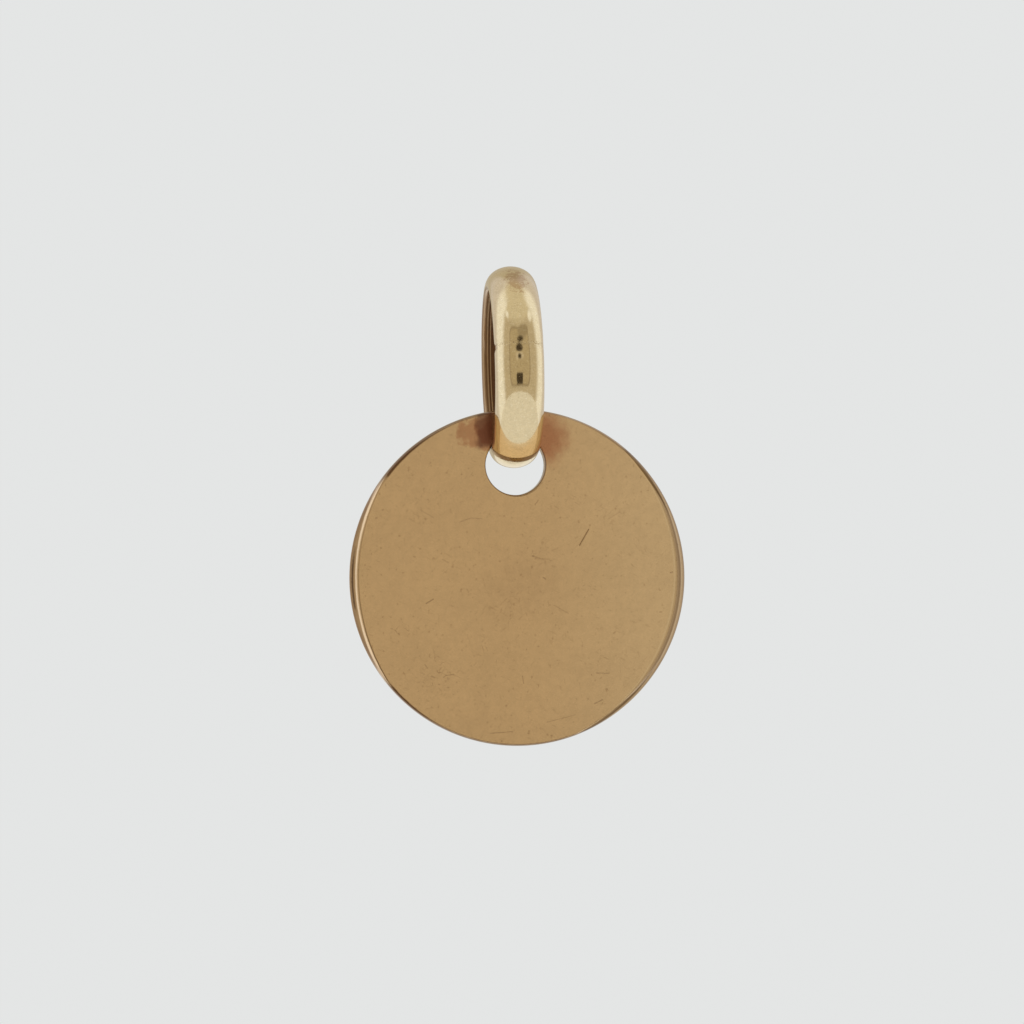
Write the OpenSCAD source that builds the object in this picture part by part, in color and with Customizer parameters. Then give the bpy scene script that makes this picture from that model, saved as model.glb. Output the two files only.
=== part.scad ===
/* [Disc] */
// Diameter of the disc
disc_d = 18; // [14:0.5:30]
// Thickness of the disc
disc_t = 1.1; // [0.8:0.1:2]
// Width of the rounded rim, inwards from the edge of the disc
rim_w = 0.65; // [0.2:0.05:1]

/* [Hole] */
// Diameter of the hole that the bail ring passes through
hole_d = 3.2; // [3.1:0.1:5]
// Metal left between the top of the hole and the edge of the disc
hole_web = 1.4; // [1.1:0.1:3]
// Radius that eases both edges of the hole
hole_ease = 0.09; // [0.03:0.01:0.2]

/* [Bail ring] */
// Outer diameter of the ring
ring_d = 10.75; // [9.5:0.25:16]
// Width of the ring's half-round band
band_w = 2.54; // [1.8:0.02:2.7]
// Height of the domed outer side of the band
dome_h = 1; // [0.6:0.05:1.1]
// Height of the slightly rounded inner side of the band
inner_h = 0.2; // [0.05:0.05:0.4]
// Gap left between the band's shoulders and the wall of the hole
seat_gap = 0.045; // [0.03:0.005:0.1]

/* [Hidden] */
$fn = 96;

// Steps along the curved outlines
rim_steps = 12;
dome_steps = 24;
inner_steps = 10;

// Outlines of the two pieces
disc_r = disc_d / 2;
hole_r = hole_d / 2;
band_half = band_w / 2;
// Radius of the ring at the shoulders, where its band is widest
shoulder_r = ring_d / 2 - dome_h;

// The shoulders hang in the hole as high as its round wall and the gap let them
seat_r = hole_r - seat_gap;
inner_share = inner_h / band_half;
seat_up = sqrt((seat_r * seat_r - band_half * band_half) * (1 - inner_share * inner_share));
// The ring curves upwards from the middle of the disc's thickness to its faces
seat_rise = shoulder_r - sqrt(shoulder_r * shoulder_r - disc_t * disc_t / 4);

// Heights above the origin, which is on the inside of the ring at its top
ring_z = inner_h - shoulder_r;
hole_z = ring_z - shoulder_r - (seat_up - seat_rise);
disc_z = hole_z + hole_r + hole_web - disc_r;

// How far a cutter stands past the face it cuts
past = 0.5;

// Half an outline of the disc, from the middle of one face round the rim to the other
function disc_outline() = concat(
    [[0, -disc_t / 2]],
    [for (i = [0 : 2 * rim_steps])
        let (a = 90 * (i / rim_steps - 1))
        [disc_r - rim_w + rim_w * cos(a), disc_t / 2 * sin(a)]],
    [[0, disc_t / 2]]
);

// The band's section: a dome outside and a flatter curve inside, meeting at the shoulders
function band_outline() = concat(
    [for (i = [0 : dome_steps])
        let (a = 180 * i / dome_steps)
        [shoulder_r + dome_h * sin(a), band_half * cos(a)]],
    [for (i = [1 : inner_steps - 1])
        let (a = 180 * i / inner_steps)
        [shoulder_r - inner_h * sin(a), -band_half * cos(a)]]
);

// Cutter for half of the hole, from the middle of the disc out past its eased edge at one face
module eased_hole() {
    rotate_extrude() difference() {
        square([hole_r + hole_ease, disc_t / 2 + past]);
        translate([hole_r, 0]) square([hole_ease, disc_t / 2 - hole_ease]);
        translate([hole_r + hole_ease, disc_t / 2 - hole_ease]) circle(r = hole_ease);
    }
}

module disc() {
    color([0.69, 0.56, 0.38])
    difference() {
        translate([0, 0, disc_z]) rotate([90, 0, 0]) rotate_extrude() polygon(disc_outline());
        translate([0, 0, hole_z]) {
            rotate([90, 0, 0]) eased_hole();
            rotate([-90, 0, 0]) eased_hole();
        }
    }
}

module bail_ring() {
    color([0.8, 0.7, 0.48])
    translate([0, 0, ring_z]) rotate([0, 90, 0]) rotate_extrude() polygon(band_outline());
}

disc();
bail_ring();
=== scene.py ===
import math
from collections import namedtuple

import bpy
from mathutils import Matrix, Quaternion, Vector


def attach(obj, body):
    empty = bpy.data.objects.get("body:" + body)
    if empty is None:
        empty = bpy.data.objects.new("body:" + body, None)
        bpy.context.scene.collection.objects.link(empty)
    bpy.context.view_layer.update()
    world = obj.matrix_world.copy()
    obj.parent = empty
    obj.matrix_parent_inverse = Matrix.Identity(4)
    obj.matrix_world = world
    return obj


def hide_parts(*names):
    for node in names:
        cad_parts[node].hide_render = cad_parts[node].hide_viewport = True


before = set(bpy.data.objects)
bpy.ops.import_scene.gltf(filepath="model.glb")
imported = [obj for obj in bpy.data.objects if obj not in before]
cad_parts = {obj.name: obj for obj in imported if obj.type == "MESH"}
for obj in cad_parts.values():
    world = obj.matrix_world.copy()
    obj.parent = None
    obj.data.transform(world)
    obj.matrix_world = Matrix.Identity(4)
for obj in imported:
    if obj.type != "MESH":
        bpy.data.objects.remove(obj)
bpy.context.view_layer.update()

MM = 0.001

# Disc, in millimetres, as in the part's source
DISC_RADIUS = 9.0
DISC_HALF_THICKNESS = 0.55
DISC_Z = -15.4014
HOLE_RADIUS = 1.6
HOLE_Z = -9.4014
HOLE_EASE = 0.09

# Ring, in millimetres, as in the part's source, apart from how its inner corners are rounded
RING_Z = -4.175
RING_SHOULDER_RADIUS = 4.375
BAND_HALF_WIDTH = 1.27
BAND_DOME = 1.0
BAND_INNER = 0.2
BAND_INNER_ROUND = 0.19

# The disc's edge is rounded a little all round, and polished away further in two crescents.
# Their middles and half lengths are angles round the disc from its right-hand side, and
# their power says how round they are: 2 is an ellipse, and less is more like a bevel
RIM_WIDTH = 0.13
RIM_POWER = 2.0
RIM_BAND_HALF = 0.02
Crescent = namedtuple("Crescent", "middle half width power")
LEFT_CRESCENT = Crescent(middle=179.5, half=38.0, width=0.34, power=1.12)
RIGHT_CRESCENT = Crescent(middle=-10.0, half=62.0, width=0.52, power=2.0)

# The ring's soldered joint, in degrees above the middle of its front. Its dip is drawn in from
# the outside: how far each step reaches in degrees, and how much it shrinks the band. The
# notch is pushed in likewise: how far each step reaches and how far it goes, in millimetres
SEAM_ANGLE = 10.3
SEAM_DIPS = ((5.6, 0.9996), (4.8, 0.9992), (4.1, 0.9989), (3.3, 0.9987), (2.6, 0.9989), (1.8, 0.9993))
NOTCH_PUSHES = ((0.26, 0.03), (0.19, 0.05), (0.11, 0.05))

# How finely the pieces are divided
DISC_SIDES = 288
RIM_STEPS = 16
HOLE_SIDES = 144
HOLE_EASE_STEPS = 4
BAND_SIDES = 96
BAND_INNER_CUTS = 12
BAND_ROUND_STEPS = 8
RING_STEPS = 480

# Small lengths in modelling, in millimetres
DRILL_LENGTH = 3
CUT_SLACK = 0.005
FLAT_SLACK = 0.0005
FLAT_INSET = 0.02
HAIR = 0.001
WELD = 0.0002

# Camera: the photograph's own frame and viewing angle
IMAGE_SIDE = 1024
PIXELS_PER_MM = 18.7
DISC_CENTRE_PIXEL = (518, 577.4)
CAMERA_DISTANCE = 110.0
CAMERA_YAW = -5.2
CAMERA_ROLL = 1.7
SENSOR_MM = 36.0

# Floor and how far the camera sees, in metres
FLOOR_RADIUS = 0.38
FLOOR_Z = -0.23
NEAREST_SEEN = 0.001
FARTHEST_SEEN = 20.0

# Golds, as the light they give back
DISC_GOLD = (0.948, 0.72, 0.46)
# The disc's gold on its right side: paler, a painted brighter reflection on that side
DISC_GOLD_LIT_SIDE = (1.0, 0.8, 0.545)
RING_GOLD = (0.87, 0.74, 0.47)


# Shader helpers

# Where a Mix node has its two colours and its result
MIX_COLOURS = (6, 7)
MIX_RESULT = 2


class Wire:
    """One value in a finish. Sums on it add Math nodes to that finish."""

    def __init__(self, finish, socket):
        self.finish = finish
        self.socket = socket

    def maths(self, operation, first, second=None):
        values = {0: first}
        if second is not None:
            values[1] = second
        return self.finish.node("ShaderNodeMath", {"operation": operation}, values)

    def __add__(self, other):
        return self.maths("ADD", self, other)

    def __radd__(self, other):
        return self.maths("ADD", other, self)

    def __sub__(self, other):
        return self.maths("SUBTRACT", self, other)

    def __rsub__(self, other):
        return self.maths("SUBTRACT", other, self)

    def __mul__(self, other):
        return self.maths("MULTIPLY", self, other)

    def __truediv__(self, other):
        return self.maths("DIVIDE", self, other)

    def __abs__(self):
        return self.maths("ABSOLUTE", self)

    def __pow__(self, other):
        return self.maths("POWER", self, other)

    def over(self, other):
        return self.maths("MAXIMUM", self, other)

    def under(self, other):
        return self.maths("MINIMUM", self, other)


class Finish:
    """The nodes of one material or of the light all round."""

    def __init__(self, tree):
        self.tree = tree
        tree.nodes.clear()

    def node(self, kind, settings=None, values=None, output=0):
        made = self.tree.nodes.new(kind)
        for name, setting in (settings or {}).items():
            setattr(made, name, setting)
        for key, value in (values or {}).items():
            socket = made.inputs[key]
            if isinstance(value, Wire):
                self.tree.links.new(value.socket, socket)
            else:
                socket.default_value = value
        return Wire(self, made.outputs[output]) if made.outputs else None

    def split(self, vector):
        return [self.node("ShaderNodeSeparateXYZ", None, {0: vector}, axis) for axis in range(3)]

    def ease(self, value, start, end, low=0.0, high=1.0):
        """Low before start and high after end, with a smooth change between them."""
        return self.node(
            "ShaderNodeMapRange", {"interpolation_type": "SMOOTHSTEP"},
            {0: value, 1: start, 2: end, 3: low, 4: high})

    def mix(self, kind, share, first, second):
        values = {0: share}
        for socket, colour in zip(MIX_COLOURS, (first, second)):
            values[socket] = colour if isinstance(colour, Wire) else (*colour, 1.0)
        return self.node("ShaderNodeMix", {"data_type": "RGBA", "blend_type": kind}, values, MIX_RESULT)

    def blend(self, share, first, second):
        """The first colour where share is 0 and the second where it is 1."""
        return self.mix("MIX", share, first, second)

    def tint(self, share, first, second):
        """The first colour multiplied by the second, as far as share says."""
        return self.mix("MULTIPLY", share, first, second)

    def noise(self, place, scale, detail=2.0, roughness=0.5):
        return self.node(
            "ShaderNodeTexNoise", None,
            {"Vector": place, "Scale": scale, "Detail": detail, "Roughness": roughness})

    def millimetres(self, centre):
        """The place on the piece in millimetres from a centre, itself in millimetres."""
        place = self.node("ShaderNodeTexCoord", None, None, "Object")
        return self.node(
            "ShaderNodeMapping", None,
            {"Vector": place, "Location": [-value for value in centre], "Scale": (1 / MM,) * 3})


def distance(sideways, upwards):
    """How far away a place is, from its two distances at right angles."""
    return (sideways * sideways + upwards * upwards) ** 0.5


def strongest(values):
    """At each place the greatest of several values."""
    result = values[0]
    for value in values[1:]:
        result = result.over(value)
    return result


def new_finish(name):
    material = bpy.data.materials.new(name)
    material.use_nodes = True
    return material, Finish(material.node_tree)


def polished_metal(finish, colour, roughness, height, metallic=1.0):
    """A metal surface from its colour, its roughness and the height of its marks in millimetres."""
    bump = finish.node("ShaderNodeBump", None, {"Strength": 1.0, "Distance": MM, "Height": height})
    shader = finish.node(
        "ShaderNodeBsdfPrincipled", None,
        {"Base Color": colour, "Metallic": metallic, "Roughness": roughness, "Normal": bump})
    finish.node("ShaderNodeOutputMaterial", None, {"Surface": shader})


# Finishes

# Scratches on the disc's front, in millimetres right of and above its centre in the
# photograph: start, end, width, strength
SCRATCHES = (
    ((3.72, 2.55), (3.25, 1.73), 0.06, 1.2),
    ((-3.21, 2.95), (-2.58, 3.18), 0.045, 0.3),
    ((-2.58, 3.18), (-1.95, 3.14), 0.045, 0.28),
    ((-5.17, 3.56), (-4.56, 3.21), 0.045, 0.3),
    ((-4.94, -1.36), (-4.56, -1.13), 0.055, 0.5),
    ((0.85, 3.88), (1.03, 4.13), 0.05, 0.4),
    ((0.88, 1.01), (1.63, 0.98), 0.05, 0.32),
    ((4.15, -5.11), (4.85, -5.13), 0.045, 0.3),
    ((4.05, -6.75), (4.47, -6.54), 0.045, 0.4),
    ((0.19, -5.26), (0.25, -5.64), 0.05, 0.45),
    ((1.51, -7.71), (3.02, -7.33), 0.045, 0.16),
    ((-1.51, -8.28), (-0.32, -8.2), 0.045, 0.2),
    ((-4.03, -5.3), (-3.88, -5.18), 0.05, 0.3),
    ((-3.88, -5.18), (-3.48, -5.14), 0.05, 0.3),
    ((4.78, 3.12), (5.41, 3.5), 0.045, 0.25),
    ((1.89, -1.48), (2.64, -1.92), 0.045, 0.28),
    ((-0.19, -3.3), (0.0, -3.06), 0.045, 0.2),
    ((-6.6, -2.76), (-6.35, -3.02), 0.05, 0.28),
    ((-3.95, 1.32), (-3.6, 1.1), 0.045, 0.22),
    ((0.73, 1.14), (1.12, 1.02), 0.06, 0.4),
    ((1.74, 1.44), (2.11, 1.59), 0.05, 0.22),
    ((1.3, 0.0), (1.42, -0.08), 0.055, 0.5),
    ((-4.67, -5.22), (-4.48, -5.3), 0.07, 0.36),
    ((-4.06, 0.98), (-3.74, 0.8), 0.05, 0.3),
    ((6.03, 0.71), (6.15, 0.59), 0.055, 0.32),
    ((8.14, 0.24), (8.26, 0.27), 0.06, 0.6),
    ((-5.0, -4.6), (-4.87, -4.8), 0.05, 0.35),
    ((-1.92, -1.74), (-1.69, -1.37), 0.05, 0.2),
    ((-2.78, -0.6), (-2.7, -0.75), 0.06, 0.32),
)


# Patches of the disc's front with more nicks than the rest, in millimetres right of and above
# its centre in the photograph, each with its radius
WORN_PATCHES = (
    (0.96, 1.38, 0.9), (-0.3, -1.5, 1.3), (1.98, -1.5, 0.7), (-4.2, -5.2, 1.1),
    (-6.1, -2.7, 0.8), (-3.8, 0.77, 0.9), (-2.75, -1.0, 0.6),
    (2.7, 3.95, 0.8), (5.3, 3.4, 0.9), (-7.4, 1.2, 0.7), (-2.0, -3.4, 0.6),
    (3.3, -0.6, 0.6), (6.2, 1.2, 0.6), (-5.6, 3.6, 0.8), (4.4, -4.2, 0.6),
)


# Fine nicks all over the disc: angle in degrees, length and width in millimetres, and a number
# that sets each pattern apart from the others
NICKS = (
    (28.0, 0.42, 0.085, 3.0),
    (-47.0, 0.38, 0.09, 11.0),
    (81.0, 0.36, 0.085, 23.0),
)

# Tarnish beside the ring, in millimetres from the disc's middle: where it starts sideways,
# how high its middle lies, and how far it reaches sideways and up or down
TARNISH_START = 1.35
TARNISH_HEIGHT = 7.35
TARNISH_REACH = 1.75


def scratch(finish, across, up, start, end, width):
    """1 along the middle of a straight scratch, falling to 0 at its width."""
    run = (end[0] - start[0], end[1] - start[1])
    length_squared = run[0] ** 2 + run[1] ** 2
    along = ((across - start[0]) * run[0] + (up - start[1]) * run[1]) / length_squared
    along = along.over(0.0).under(1.0)
    off_x = across - start[0] - along * run[0]
    off_y = up - start[1] - along * run[1]
    return finish.ease(distance(off_x, off_y), width, 0.0)


def nicks(finish, place, angle, length, width, seed, rare):
    """Short fine scratches lying mostly in one direction, few and far between."""
    turned = finish.node(
        "ShaderNodeMapping", {"vector_type": "TEXTURE"},
        {"Vector": place, "Location": (seed, seed * 0.7, seed * 1.3),
         "Rotation": (0.0, math.radians(angle), 0.0), "Scale": (length, 1.0, width)})
    bent = finish.node(
        "ShaderNodeTexNoise", None,
        {"Vector": turned, "Scale": 1.0, "Detail": 1.0, "Roughness": 0.4, "Distortion": 0.4})
    return finish.ease(bent, rare, rare + 0.12)


def wear_of_disc(finish, place, across, up, front):
    """The disc's scratches as the photograph shows them, and its fine nicks."""
    roll = math.radians(CAMERA_ROLL)
    seen_across = across * math.cos(roll) - up * math.sin(roll)
    seen_up = across * math.sin(roll) + up * math.cos(roll)
    marks = strongest([
        scratch(finish, seen_across, seen_up, start, end, width) * strength
        for start, end, width, strength in SCRATCHES])
    worn = strongest([
        finish.ease(distance(seen_across - patch_across, seen_up - patch_up), patch_radius * 1.6, 0.0)
        for patch_across, patch_up, patch_radius in WORN_PATCHES])
    # Where the front is worn more of the nicks show
    worn = worn * front
    rare = 0.67 - worn * 0.03
    lines = strongest([
        nicks(finish, place, angle, length, width, seed, rare)
        for angle, length, width, seed in NICKS])
    return marks * front, lines * (0.6 + worn * 0.4)


def tarnish_and_shade_beside_ring(finish, place, across, up, front):
    """Reddish tarnish beside the ring, where the cloth doesn't reach, and brown next to it, darkened
    further by painted shade from the ring.
    """
    blot = finish.noise(place, 1.1, 5.0, 0.62)
    beyond = (abs(across) - TARNISH_START).over(0.0)
    left = finish.ease(across, 0.3, -0.3)
    # The left patch lies higher than the right one, ends more sharply and runs out in a point
    height = (up - TARNISH_HEIGHT - left * 0.42) / (TARNISH_REACH - left * 0.55)
    reach = beyond / (TARNISH_REACH + left * 0.85)
    spread = reach * reach.over(left) + height * height
    spread = spread + (blot - 0.5) * 1.5
    crisp = finish.ease(spread, 0.8, 0.55, 0.0, 0.7).over(finish.ease(spread, 0.45, 0.2)) * left
    soft = finish.ease(spread, 1.2, -0.1) * (1 - left)
    # Darkest next to the ring: tarnish, deepened by painted shade from the ring
    deep = finish.ease(beyond + (blot - 0.5) * 0.9, 0.85, 0.5)
    deep = deep * finish.ease(up + (blot - 0.5) * 1.4, 6.75, 7.15)
    # None of it behind the ring, or on the disc's back
    beside = finish.ease(abs(across), 0.9, 1.3) * front
    return crisp.over(soft) * beside, deep * left * beside


def crescent_share(crescent, across, up, radius):
    """How much of its width a crescent has: 1 at its middle, 0 at its ends, less beyond them."""
    middle = math.radians(crescent.middle)
    end = math.cos(math.radians(crescent.half))
    facing = (across * math.cos(middle) + up * math.sin(middle)) / radius
    return (facing - end) / (1 - end)


def browning_of_edge(finish, across, through, up, radius, fine):
    """Where the disc's edge is brown, where it is darker, and where its right crescent has a painted
    highlight.
    """
    inward = DISC_RADIUS - radius + (fine - 0.5) * 0.05
    left = crescent_share(LEFT_CRESCENT, across, up, radius)
    right = crescent_share(RIGHT_CRESCENT, across, up, radius)
    left_width = left.over(0.0) * LEFT_CRESCENT.width + RIM_WIDTH
    right_place = inward / (right.over(0.0) * RIGHT_CRESCENT.width + RIM_WIDTH)
    # The edge's crest is rubbed bright
    unrubbed = finish.ease(abs(through), 0.1, 0.35)
    outline_width = finish.ease(right, -0.6, 0.1, 0.0, 0.07) * finish.ease(up, -2.0, 4.0)
    outline = finish.ease(inward - outline_width, 0.17, 0.07)
    outline = outline * finish.ease(left, 0.3, -0.05) * finish.ease(right, 0.5, 0.1)
    outline = outline * finish.ease(across + up, 3.0, 9.0, 0.88, 0.58)
    # Beyond both ends of the left crescent, widest next to it and at the upper end
    corners = finish.ease(left + (fine - 0.5) * 0.3, 0.2, -0.15) * finish.ease(left, -2.8, -0.6)
    corner_width = (left * 0.04).over(-0.1) + finish.ease(up, -3.0, 3.0, -0.04, 0.0)
    corners = corners * finish.ease(inward - corner_width, 0.28, 0.2)
    # A dark patch at the left crescent's middle, and a shaded line inside each crescent
    middle = finish.ease(left + (fine - 0.5) * 0.1, 0.88, 0.98)
    middle = middle * finish.ease(abs(inward - 0.165), 0.085, 0.01)
    left_line = finish.ease(abs(inward - left_width - 0.015), 0.05, 0.01)
    left_line = left_line * finish.ease(left, -0.1, 0.1) * finish.ease(up, 2.0, -4.5, 0.3, 0.7)
    right_line = finish.ease(right_place, 0.37, 0.46) * finish.ease(right_place, 0.5, 0.88, 1.0, 0.2)
    right_line = right_line * finish.ease(right_place, 0.91, 0.86) * finish.ease(right, 0.0, 0.3)
    brown = (outline.over(corners * 0.92) * unrubbed).over(middle * 0.85)
    brown = brown.over(left_line).over(right_line * 0.64)
    # Both crescents are darker along their outer side, with a paler line in the right one
    left_darker = finish.ease(inward - left_width, -0.12, -0.19, 0.12, 1.0) * finish.ease(left, 0.0, 0.15)
    left_darker = left_darker * finish.ease(inward - left_width, 0.02, -0.02)
    paler = finish.ease(right_place, 0.27, 0.34) * finish.ease(right, 0.55, 0.85) * 0.22
    # The darker part covers more of the crescent towards its ends
    right_end = finish.ease(right, 0.35, 0.85, 0.95, 0.46)
    right_darker = (0.92 - paler) * finish.ease(right_place - right_end, 0.0, -0.08)
    right_darker = right_darker * finish.ease(right, 0.0, 0.15)
    darkening = left_darker.over(right_darker) * finish.ease(abs(through), 0.0, 0.12, 0.4, 1.0)
    # Painted highlight: a pale line near the inner side of the right crescent, standing in for a
    # reflection
    painted_glint = finish.ease(abs(right_place - 0.97), 0.1, 0.04) * finish.ease(right, 0.2, 0.6)
    return brown, darkening, painted_glint


def disc_finish():
    material, finish = new_finish("disc gold, polished")
    place = finish.millimetres((0.0, 0.0, DISC_Z))
    across, through, up = finish.split(place)
    radius = distance(across, up)
    front = finish.ease(through, -0.3, -0.5)

    cloud = finish.noise(place, 0.35, 3.0, 0.55)
    fine = finish.noise(place, 2.5, 3.0, 0.6)
    grain = finish.noise(place, 9.0, 2.0, 0.6)
    specks = finish.ease(finish.noise(place, 5.0, 1.0, 0.5), 0.69, 0.78)
    marks, lines = wear_of_disc(finish, place, across, up, front)
    red, deep = tarnish_and_shade_beside_ring(finish, place, across, up, front)
    brown, darker_edge, painted_glint = browning_of_edge(finish, across, through, up, radius, fine)
    from_hole = distance(across, up - (HOLE_Z - DISC_Z))
    bore = finish.ease(from_hole, HOLE_RADIUS + HOLE_EASE * 0.8, HOLE_RADIUS + HOLE_EASE * 0.3)
    # Darker in the middle of the front
    darkening = finish.ease((across * across * 0.13 + (up + 0.4) * (up + 0.4) * 0.2) ** 0.5, 1.3, 0.2)

    # Paler towards the right: painted reflection, brighter on that side of the face
    colour = finish.blend(finish.ease(across, -1.0, 9.0), DISC_GOLD, DISC_GOLD_LIT_SIDE)
    colour = finish.tint(finish.ease(cloud, 0.3, 0.7) * 0.6, colour, (0.94, 0.94, 0.94))
    colour = finish.tint(finish.ease(fine, 0.3, 0.7) * 0.9, colour, (0.94, 0.94, 0.94))
    colour = finish.tint(finish.ease(grain, 0.4, 0.66) * 0.9, colour, (0.965, 0.965, 0.965))
    colour = finish.tint(darkening * (0.3 + fine), colour, (0.94, 0.93, 0.93))
    # Painted highlight along the right crescent
    colour = finish.blend(painted_glint * 0.7, colour, (1.0, 0.84, 0.6))
    colour = finish.tint(red * 0.9, colour, (0.7, 0.44, 0.4))
    # Tarnish and painted shade next to the ring
    colour = finish.tint(deep * 0.92, colour, (0.4, 0.32, 0.36))
    # Darker along the outer side of both crescents
    colour = finish.tint(darker_edge, colour, (0.39, 0.32, 0.22))
    colour = finish.tint(brown.over(bore * 0.75), colour, (0.17, 0.11, 0.08))
    colour = finish.tint(specks * 0.4, colour, (0.62, 0.55, 0.48))
    colour = finish.tint(lines * 0.32, colour, (0.62, 0.55, 0.48))
    colour = finish.tint(marks * 0.75, colour, (0.45, 0.36, 0.28))

    roughness = 0.1 + cloud * 0.03 + grain * 0.02 + lines * 0.06 + marks * 0.15 + red * 0.08
    height = cloud * 0.002 - marks * 0.005 - lines * 0.0007 - specks * 0.0008
    polished_metal(finish, colour, roughness, height)
    return material


def ring_finish():
    material, finish = new_finish("ring gold, polished")
    place = finish.millimetres((0.0, 0.0, RING_Z))
    across, through, up = finish.split(place)

    wave = finish.noise(place, 0.7, 2.0, 0.5)
    ripple = finish.noise(place, 2.4, 1.0, 0.5)
    fine = finish.noise(place, 4.0, 3.0, 0.6)
    grain = finish.noise(place, 14.0, 2.0, 0.6)
    pits = finish.ease(grain, 0.66, 0.74)
    sparkle = finish.noise(place, 11.0, 1.0, 0.5)

    # The soldered joint: parts of a fine line across the band, and a few pits in it
    seam = math.radians(SEAM_ANGLE)
    beyond = up * math.cos(seam) + through * math.sin(seam)
    on_front = finish.ease(through, -3.0, -4.0)
    broken = finish.ease(finish.noise(place, 1.7, 2.0, 0.5), 0.48, 0.62)
    line = finish.ease(abs(beyond + (fine - 0.5) * 0.6), 0.05, 0.0) * broken * on_front
    joint_pits = finish.ease(abs(beyond + 0.05), 0.16, 0.02) * finish.ease(grain, 0.55, 0.63) * on_front

    # Brown inside the ring, and a faint painted reflection near its top
    from_axis = distance(through, up) + (fine - 0.5) * 0.05
    inside = finish.ease(from_axis, RING_SHOULDER_RADIUS + 0.02, RING_SHOULDER_RADIUS - 0.06)
    # Painted highlights: pale lines along the inside of the band, standing in for reflections
    outer_highlight = finish.ease(abs(abs(across) - 0.95), 0.05, 0.01)
    inner_highlight = finish.ease(abs(abs(across) - 0.79), 0.04, 0.01)
    edge_highlight = finish.ease(abs(abs(across) - 1.17), 0.05, 0.01)
    lines = outer_highlight.over(inner_highlight).over(edge_highlight * 0.6) * inside
    deep = inside * finish.ease(across, -0.95, -0.87) * finish.ease(across, 0.0, -0.5)
    # A faint brownish painted reflection near the top of the ring, on its front
    from_painted_reflection = distance((across - 0.1) / 0.65, (up - 4.35) / 0.75) + (fine - 0.5) * 2.4
    painted_reflection = finish.ease(from_painted_reflection, 1.0, 0.5) * finish.ease(through, -1.0, -1.6)

    brighter = [part * 1.02 for part in RING_GOLD]
    darker = [part * 0.95 for part in RING_GOLD]
    colour = finish.blend(finish.ease(fine, 0.35, 0.65), brighter, darker)
    colour = finish.tint(finish.ease(grain, 0.4, 0.62) * 0.5, colour, (0.9, 0.88, 0.84))
    # Brownest inside the left edge, where the photograph shows it
    colour = finish.blend(inside * finish.ease(across, -0.2, 0.4, 0.92, 0.45), colour, (0.32, 0.19, 0.1))
    colour = finish.tint(deep, colour, (0.55, 0.47, 0.45))
    # Painted highlight lines inside the ring
    colour = finish.blend(lines * 0.8, colour, (0.85, 0.66, 0.42))
    # Painted reflection near the ring's top
    colour = finish.tint(painted_reflection * 0.75, colour, (0.62, 0.5, 0.45))
    colour = finish.tint((line * 0.2).over(joint_pits * 0.6), colour, (0.5, 0.42, 0.3))
    colour = finish.tint(pits * 0.4, colour, (0.7, 0.62, 0.5))
    colour = finish.blend(finish.ease(sparkle, 0.6, 0.7) * (1 - inside) * 0.55, colour, (0.98, 0.88, 0.64))

    roughness = 0.07 + fine * 0.04 + pits * 0.08 + joint_pits * 0.15
    height = wave * 0.007 + ripple * 0.0014 + fine * 0.0006 + grain * 0.0004
    height = height - joint_pits * 0.006 - pits * 0.0012
    metallic = 1 - inside * finish.ease(across, -0.2, 0.4, 0.55, 0.2)
    polished_metal(finish, colour, roughness, height, metallic)
    return material


# Modelling helpers

def clear_selection():
    bpy.ops.object.select_all(action="DESELECT")


def edit_all():
    bpy.ops.object.mode_set(mode="EDIT")
    bpy.ops.mesh.select_all(action="SELECT")


def select_parts(piece, kind, chosen):
    """In edit mode, selects the faces, edges or points for which chosen is true."""
    bpy.ops.mesh.select_mode(type={"faces": "FACE", "edges": "EDGE", "points": "VERT"}[kind])
    bpy.ops.mesh.select_all(action="DESELECT")
    bpy.ops.object.mode_set(mode="OBJECT")
    mesh = piece.data
    parts = {"faces": mesh.polygons, "edges": mesh.edges, "points": mesh.vertices}[kind]
    for part in parts:
        if chosen(part):
            part.select = True
    bpy.ops.object.mode_set(mode="EDIT")


def settle(piece):
    """Puts the piece's place into its mesh."""
    clear_selection()
    piece.select_set(True)
    bpy.context.view_layer.objects.active = piece
    bpy.ops.object.transform_apply(location=True, rotation=True, scale=True)


def dress(piece, material):
    piece.data.materials.clear()
    piece.data.materials.append(material)


# The disc

def rounding(height, width, power):
    """How far in from the edge a rounded rim lies, at a height over the middle of its thickness."""
    return width * (1 - (1 - (height / DISC_HALF_THICKNESS) ** power) ** (1 / power))


def model_disc():
    clear_selection()
    bpy.ops.mesh.primitive_cylinder_add(
        vertices=DISC_SIDES, radius=DISC_RADIUS * MM, depth=2 * RIM_BAND_HALF * MM,
        location=(0.0, 0.0, DISC_Z * MM), rotation=(math.radians(90.0), 0.0, 0.0))
    disc = bpy.context.active_object
    disc.name = "round_disc"
    settle(disc)
    edit_all()
    select_parts(disc, "faces", lambda face: abs(face.normal.y) > 0.9)
    radius = DISC_RADIUS
    height = RIM_BAND_HALF
    for step in range(1, RIM_STEPS + 1):
        climb = math.sin(math.radians(90.0 * step / RIM_STEPS))
        next_height = RIM_BAND_HALF + (DISC_HALF_THICKNESS - RIM_BAND_HALF) * climb
        next_radius = DISC_RADIUS - rounding(next_height, RIM_WIDTH, RIM_POWER)
        shrink = next_radius / radius
        bpy.ops.mesh.extrude_region_move()
        bpy.ops.transform.resize(
            value=(shrink, next_height / height, shrink), center_override=(0.0, 0.0, DISC_Z * MM))
        radius = next_radius
        height = next_height
    bpy.ops.object.mode_set(mode="OBJECT")
    polish_away(disc, LEFT_CRESCENT)
    polish_away(disc, RIGHT_CRESCENT)
    drill_hole(disc)
    return disc


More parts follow.
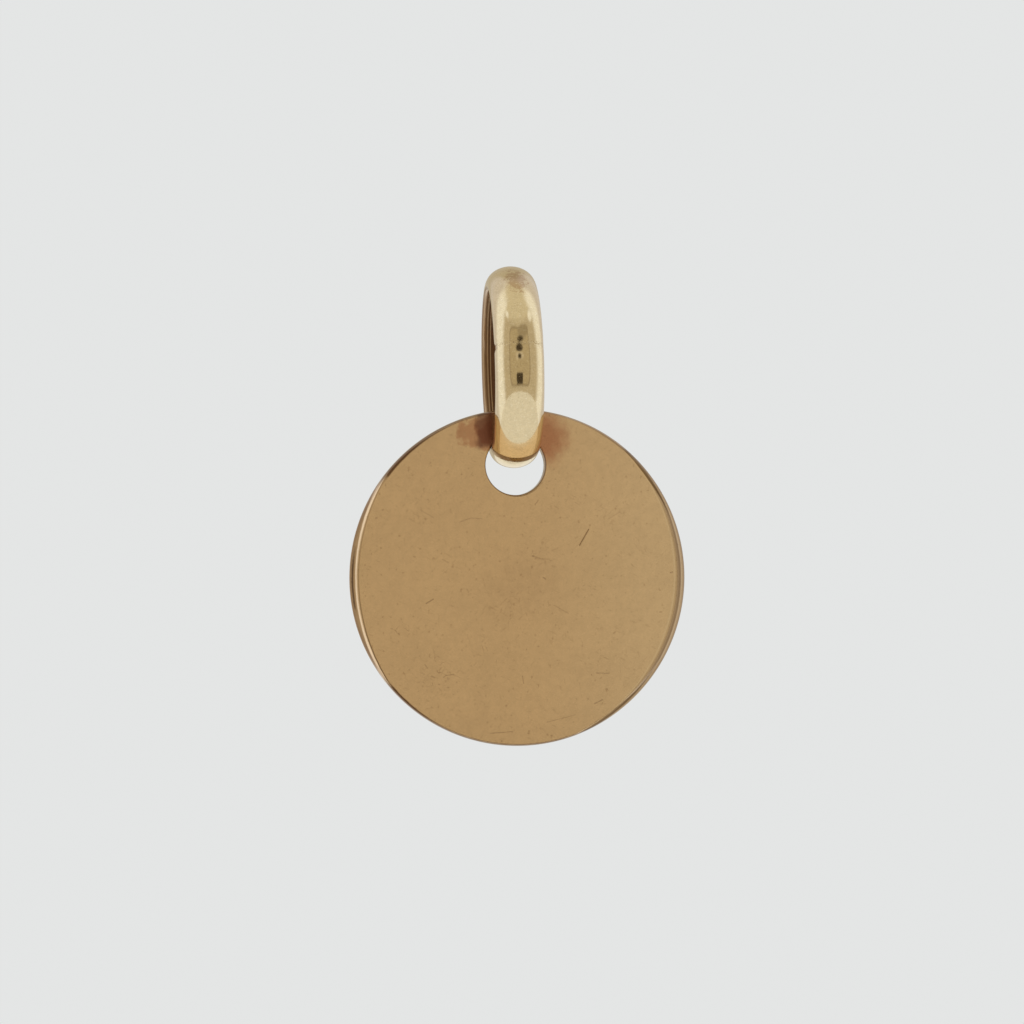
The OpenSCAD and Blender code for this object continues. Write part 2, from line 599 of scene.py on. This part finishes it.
def polish_away(disc, crescent):
    """Draws the disc's edge in sideways, front and back alike, most at the crescent's middle."""
    shares = disc.vertex_groups.new(name="crescent")
    for point in disc.data.vertices:
        across, through, up = point.co / MM
        up -= DISC_Z
        radius = math.hypot(across, up)
        share = max(0.0, crescent_share(crescent, across, up, radius))
        if share > 0.0:
            height = min(abs(through), DISC_HALF_THICKNESS)
            share = share * rounding(height, 1.0, crescent.power) * radius / abs(across)
            shares.add([point.index], share, "REPLACE")
    push = disc.modifiers.new("polish", "DISPLACE")
    push.direction = "X"
    push.mid_level = 0.0
    push.strength = -math.copysign(crescent.width * MM, math.cos(math.radians(crescent.middle)))
    push.vertex_group = shares.name
    bpy.ops.object.modifier_apply(modifier=push.name)
    disc.vertex_groups.clear()


def drill_hole(disc):
    """Cuts the hole, eases its edges and frames the flat faces so that they stay flat to the eye."""
    clear_selection()
    bpy.ops.mesh.primitive_cylinder_add(
        vertices=HOLE_SIDES, radius=HOLE_RADIUS * MM, depth=DRILL_LENGTH * MM,
        location=(0.0, 0.0, HOLE_Z * MM), rotation=(math.radians(90.0), 0.0, 0.0))
    drill = bpy.context.active_object
    settle(drill)
    clear_selection()
    disc.select_set(True)
    bpy.context.view_layer.objects.active = disc
    cut = disc.modifiers.new("hole", "BOOLEAN")
    cut.operation = "DIFFERENCE"
    cut.solver = "EXACT"
    cut.object = drill
    bpy.ops.object.modifier_apply(modifier=cut.name)
    bpy.data.objects.remove(drill)
    edit_all()
    points = disc.data.vertices

    def on_hole_edge(edge):
        for index in edge.vertices:
            x, y, z = points[index].co / MM
            if abs(math.hypot(x, z - HOLE_Z) - HOLE_RADIUS) > CUT_SLACK:
                return False
            if abs(y) < DISC_HALF_THICKNESS - CUT_SLACK:
                return False
        return True

    select_parts(disc, "edges", on_hole_edge)
    bpy.ops.mesh.bevel(offset=HOLE_EASE * MM, segments=HOLE_EASE_STEPS, affect="EDGES")
    select_parts(disc, "faces", lambda face: abs(face.normal.y) > 0.99999
                 and abs(face.center.y) > (DISC_HALF_THICKNESS - FLAT_SLACK) * MM)
    bpy.ops.mesh.inset(thickness=FLAT_INSET * MM, depth=0.0)
    bpy.ops.mesh.select_all(action="SELECT")
    bpy.ops.mesh.normals_make_consistent(inside=False)
    bpy.ops.object.mode_set(mode="OBJECT")
    bpy.ops.object.shade_smooth()


# The ring

def ring_place(angle, radius):
    """A point round the ring, in metres, by its angle above the middle of the front."""
    turn = math.radians(angle)
    return Vector((0.0, -radius * math.cos(turn), RING_Z + radius * math.sin(turn))) * MM


def model_ring():
    clear_selection()
    bpy.ops.mesh.primitive_circle_add(
        vertices=BAND_SIDES, radius=BAND_HALF_WIDTH * MM, fill_type="NOTHING",
        location=(0.0, -RING_SHOULDER_RADIUS * MM, RING_Z * MM))
    ring = bpy.context.active_object
    ring.name = "bail_band"
    settle(ring)
    shoulder = -RING_SHOULDER_RADIUS * MM
    hair = HAIR * MM
    edit_all()
    # The dome outside
    select_parts(ring, "points", lambda point: point.co.y > shoulder + hair)
    bpy.ops.mesh.delete(type="VERT")
    select_parts(ring, "points", lambda point: point.co.y < shoulder - hair)
    bpy.ops.transform.resize(
        value=(1.0, BAND_DOME / BAND_HALF_WIDTH, 1.0), center_override=(0.0, shoulder, RING_Z * MM))
    # The flat side inside, with rounded corners
    select_parts(ring, "points", lambda point: abs(point.co.y - shoulder) < hair)
    bpy.ops.mesh.extrude_vertices_move(TRANSFORM_OT_translate={"value": (0.0, BAND_INNER * MM, 0.0)})
    bpy.ops.mesh.edge_face_add()
    bpy.ops.mesh.subdivide(number_cuts=BAND_INNER_CUTS)
    select_parts(ring, "points", lambda point: point.co.y > shoulder + hair
                 and abs(point.co.x) > (BAND_HALF_WIDTH - HAIR) * MM)
    bpy.ops.mesh.bevel(
        offset=BAND_INNER_ROUND * MM, segments=BAND_ROUND_STEPS, affect="VERTICES", clamp_overlap=False)
    bpy.ops.mesh.select_all(action="SELECT")
    bpy.ops.mesh.spin(
        steps=RING_STEPS, angle=2 * math.pi, center=(0.0, 0.0, RING_Z * MM), axis=(1.0, 0.0, 0.0))
    bpy.ops.mesh.select_all(action="SELECT")
    bpy.ops.mesh.remove_doubles(threshold=WELD * MM)
    bpy.ops.mesh.normals_make_consistent(inside=False)
    sink_seam(ring)
    bpy.ops.object.mode_set(mode="OBJECT")
    bpy.ops.object.shade_smooth()
    return ring


def sink_seam(ring):
    """The soldered joint: a shallow dip round the band and a small notch in its left shoulder."""
    middle = ring_place(SEAM_ANGLE, RING_SHOULDER_RADIUS + 0.35)
    for reach, shrink in SEAM_DIPS:
        def in_dip(point):
            angle = math.degrees(math.atan2(point.co.z / MM - RING_Z, -point.co.y / MM))
            return abs(angle - SEAM_ANGLE) < reach
        select_parts(ring, "points", in_dip)
        bpy.ops.transform.resize(value=(shrink,) * 3, center_override=middle)
    notch = ring_place(SEAM_ANGLE - 0.8, RING_SHOULDER_RADIUS + 0.1)
    notch = notch + Vector((-BAND_HALF_WIDTH * MM, 0.0, 0.0))
    for reach, push in NOTCH_PUSHES:
        select_parts(ring, "points", lambda point: (point.co - notch).length < reach * MM)
        bpy.ops.transform.translate(value=(push * MM, 0.0, 0.0))


# Studio

def light_tent():
    """A pale tent all round, open towards the camera, as the polished metal sees it."""
    world = bpy.data.worlds.new("light tent")
    bpy.context.scene.world = world
    world.use_nodes = True
    finish = Finish(world.node_tree)
    direction = finish.node("ShaderNodeTexCoord", None, None, "Generated")
    right, back, up = finish.split(direction)
    degrees = 180 / math.pi
    turn = finish.node("ShaderNodeMath", {"operation": "ARCTAN2"}, {0: right, 1: 0 - back}) * degrees
    rise = finish.node("ShaderNodeMath", {"operation": "ARCSINE"}, {0: up}) * degrees

    def shape(turn_at, rise_at, half_turn, half_rise, power=2.0, soft=0.25):
        """1 inside an outline round a direction: an oval at power 2, and nearly a rectangle at 8."""
        sideways = abs((turn - turn_at) / half_turn) ** power
        upwards = abs((rise - rise_at) / half_rise) ** power
        return finish.ease((sideways + upwards) ** (1 / power), 1.0 + soft, 1.0 - soft)

    front = (0.54, 0.47, 0.37)
    opening = (0.48, 0.4, 0.28)
    dark = (0.06, 0.045, 0.03)
    pale = (0.93, 0.93, 0.96)
    # The opening, with a darker hem, and what stands in it
    colour = finish.blend(shape(0.0, 9.0, 40.0, 33.5, 6.0, 0.03), front, (0.33, 0.27, 0.19))
    colour = finish.blend(shape(0.0, 9.0, 37.0, 31.0, 6.0, 0.03), colour, opening)
    colour = finish.blend(shape(19.0, 36.5, 24.0, 8.5, 2.0, 0.12), colour, (0.36, 0.3, 0.215))
    colour = finish.blend(shape(5.0, 27.5, 12.0, 2.8), colour, dark)
    colour = finish.blend(shape(0.0, 19.0, 13.0, 5.0), colour, dark)
    colour = finish.blend(shape(0.0, 8.5, 15.0, 5.5), colour, (0.6, 0.52, 0.41))
    colour = finish.blend(shape(0.0, 8.5, 6.5, 3.0), colour, dark)
    colour = finish.blend(shape(5.2, -2.0, 13.0, 7.0, 8.0, 0.08), colour, opening)
    colour = finish.blend(shape(-1.0, -16.0, 12.0, 6.4, 8.0, 0.08), colour, dark)
    # The tent over and under it and on both sides
    colour = finish.blend(finish.ease(rise, 42.0, 56.0), colour, (0.67, 0.61, 0.5))
    colour = finish.blend(finish.ease(rise, -30.0, -33.5), colour, (0.84, 0.79, 0.69))
    level = finish.ease(abs(rise), 75.0, 55.0)
    sides = finish.ease(turn, 64.0, 88.0).over(finish.ease(0 - turn, 60.0, 80.0))
    colour = finish.blend(sides * level, colour, pale)
    colour = finish.blend(shape(-58.0, 51.0, 10.0, 4.0, 2.0, 0.4), colour, pale)
    colour = finish.blend(shape(66.0, 46.0, 12.0, 6.0, 2.0, 0.4), colour, pale)
    colour = finish.blend(finish.ease(abs(turn), 106.0, 128.0) * level, colour, (0.66, 0.62, 0.62))
    colour = finish.blend(finish.ease(abs(turn), 150.0, 166.0) * level, colour, (0.52, 0.46, 0.36))
    low_behind = finish.ease(abs(turn), 140.0, 156.0) * finish.ease(rise, -7.0, -13.0)
    colour = finish.blend(low_behind, colour, (0.9, 0.88, 0.84))

    seen = finish.node("ShaderNodeLightPath", None, None, "Is Camera Ray")
    colour = finish.blend(seen, colour, (0.776, 0.787, 0.783))
    shader = finish.node("ShaderNodeBackground", None, {"Color": colour, "Strength": 1.0})
    finish.node("ShaderNodeOutputWorld", None, {"Surface": shader})


def lay_floor():
    """A round pale table top below the pendant."""
    clear_selection()
    bpy.ops.mesh.primitive_circle_add(
        vertices=128, radius=FLOOR_RADIUS, fill_type="NGON", location=(0.0, 0.0, FLOOR_Z))
    floor = bpy.context.active_object
    floor.name = "floor"
    settle(floor)
    material, finish = new_finish("pale floor")
    shader = finish.node(
        "ShaderNodeBsdfPrincipled", None,
        {"Base Color": (0.79, 0.805, 0.83, 1.0), "Roughness": 0.9, "Specular IOR Level": 0.0,
         "Emission Color": (1.0, 1.0, 1.0, 1.0), "Emission Strength": 0.25})
    finish.node("ShaderNodeOutputMaterial", None, {"Surface": shader})
    dress(floor, material)


def place_camera():
    """The photograph's frame: its middle lies a little left of the disc's centre and above it."""
    roll = math.radians(CAMERA_ROLL)
    half = IMAGE_SIDE / 2
    offset = Vector((DISC_CENTRE_PIXEL[0] - half, half - DISC_CENTRE_PIXEL[1])) / PIXELS_PER_MM
    side = offset.x * math.cos(roll) + offset.y * math.sin(roll)
    rise = offset.y * math.cos(roll) - offset.x * math.sin(roll)
    yaw = math.radians(CAMERA_YAW)
    back = Vector((math.sin(yaw), -math.cos(yaw), 0.0))
    right = Vector((math.cos(yaw), math.sin(yaw), 0.0))
    aim = Vector((0.0, 0.0, DISC_Z)) - right * side - Vector((0.0, 0.0, rise))
    data = bpy.data.cameras.new("camera")
    camera = bpy.data.objects.new("camera", data)
    bpy.context.scene.collection.objects.link(camera)
    data.sensor_width = SENSOR_MM
    data.lens = SENSOR_MM * CAMERA_DISTANCE * PIXELS_PER_MM / IMAGE_SIDE
    data.clip_start = NEAREST_SEEN
    data.clip_end = FARTHEST_SEEN
    camera.location = (aim + back * CAMERA_DISTANCE) * MM
    camera.rotation_mode = "QUATERNION"
    camera.rotation_quaternion = (-back).to_track_quat("-Z", "Y") @ Quaternion((0.0, 0.0, 1.0), -roll)
    bpy.context.scene.camera = camera


# Making it all

disc = model_disc()
dress(disc, disc_finish())
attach(disc, "pendant")
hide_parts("disc")

ring = model_ring()
dress(ring, ring_finish())
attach(ring, "ring")
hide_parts("bail_ring")

light_tent()
lay_floor()
place_camera()
bpy.context.scene.view_settings.view_transform = "Standard"
